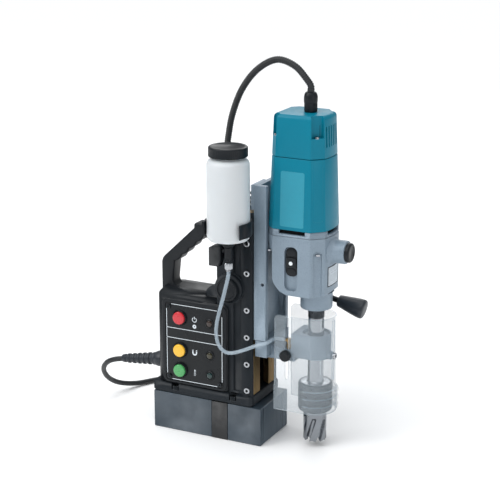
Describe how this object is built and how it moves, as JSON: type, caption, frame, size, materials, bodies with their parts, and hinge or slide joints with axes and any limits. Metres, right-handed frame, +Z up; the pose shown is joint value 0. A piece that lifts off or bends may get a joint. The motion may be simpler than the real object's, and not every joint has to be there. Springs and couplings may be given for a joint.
{
  "type": "magnetic drill press",
  "caption": "Portable magnetic-base drill press: magnet block, dovetail frame with control box and handle, drill motor on a rack-fed carriage, annular cutter, chip guard and coolant bottle.",
  "frame": {"origin": "centre of the magnet's bottom face", "axes": "+X forward from the control box towards the drill, +Z up along the spindle, +Y towards the feed capstan, the control panel faces -Y"},
  "size_m": [0.3993, 0.2734, 0.5304],
  "materials": {
    "cast_black": "satin black powder coat on cast aluminium",
    "black_plastic": "satin moulded black plastic",
    "magnet_steel": "satin blue-grey painted steel with a brushed front face",
    "coil_resin": "matt black potting resin",
    "brass": "machined brass",
    "silver_hammertone": "silver-grey fine hammertone paint on cast aluminium",
    "teal_plastic": "semi-gloss teal moulded plastic",
    "bright_steel": "ground and polished steel",
    "dark_steel": "oiled machined steel",
    "black_rubber": "matt black rubber",
    "white_hdpe": "translucent natural polyethylene",
    "clear_plastic": "clear polycarbonate",
    "clear_hose": "clear flexible PVC",
    "copper": "enamelled copper winding on laminated steel",
    "board_green": "green circuit board",
    "red_plastic": "red moulded plastic",
    "yellow_plastic": "yellow moulded plastic",
    "green_plastic": "green moulded plastic",
    "lens_amber": "unlit smoked amber lens",
    "lens_yellow": "unlit smoked yellow lens",
    "lens_green": "unlit smoked green lens"
  },
  "bodies": {
    "base": {"magnet_rear_pole": "magnet_steel", "magnet_front_pole": "magnet_steel", "magnet_coil": "coil_resin", "main_frame": "cast_black", "gib_left": "brass", "gib_right": "brass", "gib_screw_1": "bright_steel", "gib_screw_2": "bright_steel", "gib_screw_3": "bright_steel", "gib_screw_4": "bright_steel", "gib_screw_5": "bright_steel", "gib_screw_6": "bright_steel", "pinion_cover": "black_plastic", "control_box": "cast_black", "control_panel": "black_plastic", "lamp_power": "lens_amber", "lamp_magnet": "lens_yellow", "lamp_drill": "lens_green", "circuit_board": "board_green", "carry_handle": "cast_black", "conduit_gland_lower": "black_plastic", "coolant_bottle": "white_hdpe", "bottle_clip": "black_plastic", "tap_body": "black_plastic", "hose_nut": "bright_steel", "strain_relief": "black_rubber", "mains_cord": "black_rubber", "mains_cord_coil": "black_rubber", "mains_cord_tail": "black_rubber", "mains_plug": "black_plastic", "coolant_hose": "clear_hose", "power_conduit": "black_plastic"},
    "carriage": {"carriage_slide": "silver_hammertone", "feed_rack": "dark_steel", "gearbox_housing": "silver_hammertone", "boss_cap": "black_plastic", "vent_ring": "silver_hammertone", "motor_housing": "teal_plastic", "motor_end_cap": "teal_plastic", "motor_gland": "black_plastic", "motor_stator": "copper", "arbor_bracket": "silver_hammertone", "coolant_fitting": "brass"},
    "feed": {"feed_pinion": "dark_steel", "feed_hub": "dark_steel", "feed_knob_1": "black_rubber", "feed_knob_2": "black_rubber", "feed_knob_3": "black_rubber"},
    "spindle": {"spindle": "bright_steel", "annular_cutter": "bright_steel"},
    "layshaft": {"layshaft": "dark_steel"},
    "rotor": {"motor_rotor": "dark_steel"},
    "guard": {"chip_guard": "clear_plastic"},
    "guard_knob": {"guard_knob": "black_plastic"},
    "selector": {"speed_selector": "black_plastic"},
    "power_button": {"button_power": "red_plastic"},
    "magnet_button": {"button_magnet": "yellow_plastic"},
    "drill_button": {"button_drill": "green_plastic"},
    "cap": {"bottle_cap": "black_plastic"},
    "tap": {"tap_lever": "black_plastic"}
  },
  "joints": [
    {"name": "carriage_feed", "type": "slide", "parent": "base", "child": "carriage", "axis": [0, 0, 1], "range_m": [-0.052, 0.045], "deforming": ["coolant_hose", "power_conduit"]},
    {"name": "feed_capstan", "type": "hinge", "parent": "base", "child": "feed", "pos_m": [0.035, 0, 0.222], "axis": [0, 1, 0], "range_deg": [-176, 203]},
    {"name": "spindle_spin", "type": "hinge", "parent": "carriage", "child": "spindle", "pos_m": [0.1465, 0, 0.15], "axis": [0, 0, 1], "continuous": true},
    {"name": "layshaft_spin", "type": "hinge", "parent": "carriage", "child": "layshaft", "pos_m": [0.1375, 0.0168, 0.25], "axis": [0, 0, 1], "continuous": true},
    {"name": "rotor_spin", "type": "hinge", "parent": "carriage", "child": "rotor", "pos_m": [0.1285, 0, 0.36], "axis": [0, 0, 1], "continuous": true},
    {"name": "guard_slide", "type": "slide", "parent": "carriage", "child": "guard", "axis": [0, 0, 1], "range_m": [-0.045, 0.03]},
    {"name": "guard_knob_turn", "type": "hinge", "parent": "carriage", "child": "guard_knob", "pos_m": [0.1155, -0.033, 0.135], "axis": [0, -1, 0], "range_deg": [0, 360]},
    {"name": "speed_slide", "type": "slide", "parent": "carriage", "child": "selector", "axis": [0, 0, -1], "range_m": [0, 0.019]},
    {"name": "power_press", "type": "slide", "parent": "base", "child": "power_button", "axis": [0, 1, 0], "range_m": [0, 0.0015], "stiffness_N_per_m": 500, "springref_m": -0.001},
    {"name": "magnet_press", "type": "slide", "parent": "base", "child": "magnet_button", "axis": [0, 1, 0], "range_m": [0, 0.0015], "stiffness_N_per_m": 500, "springref_m": -0.001},
    {"name": "drill_press", "type": "slide", "parent": "base", "child": "drill_button", "axis": [0, 1, 0], "range_m": [0, 0.0015], "stiffness_N_per_m": 500, "springref_m": -0.001},
    {"name": "cap_lift", "type": "slide", "parent": "base", "child": "cap", "axis": [0, 0, 1], "range_m": [0, 0.05]},
    {"name": "tap_turn", "type": "hinge", "parent": "base", "child": "tap", "pos_m": [0.042, -0.07, 0.284], "axis": [-1, 0, 0], "range_deg": [0, 90]}
  ],
  "couplings": [
    {"joint": "feed_capstan", "follows": "carriage_feed", "rad_per_m": -66.667},
    {"joint": "layshaft_spin", "follows": "spindle_spin", "ratio": -2.8},
    {"joint": "rotor_spin", "follows": "spindle_spin", "ratio": 8.7111}
  ]
}
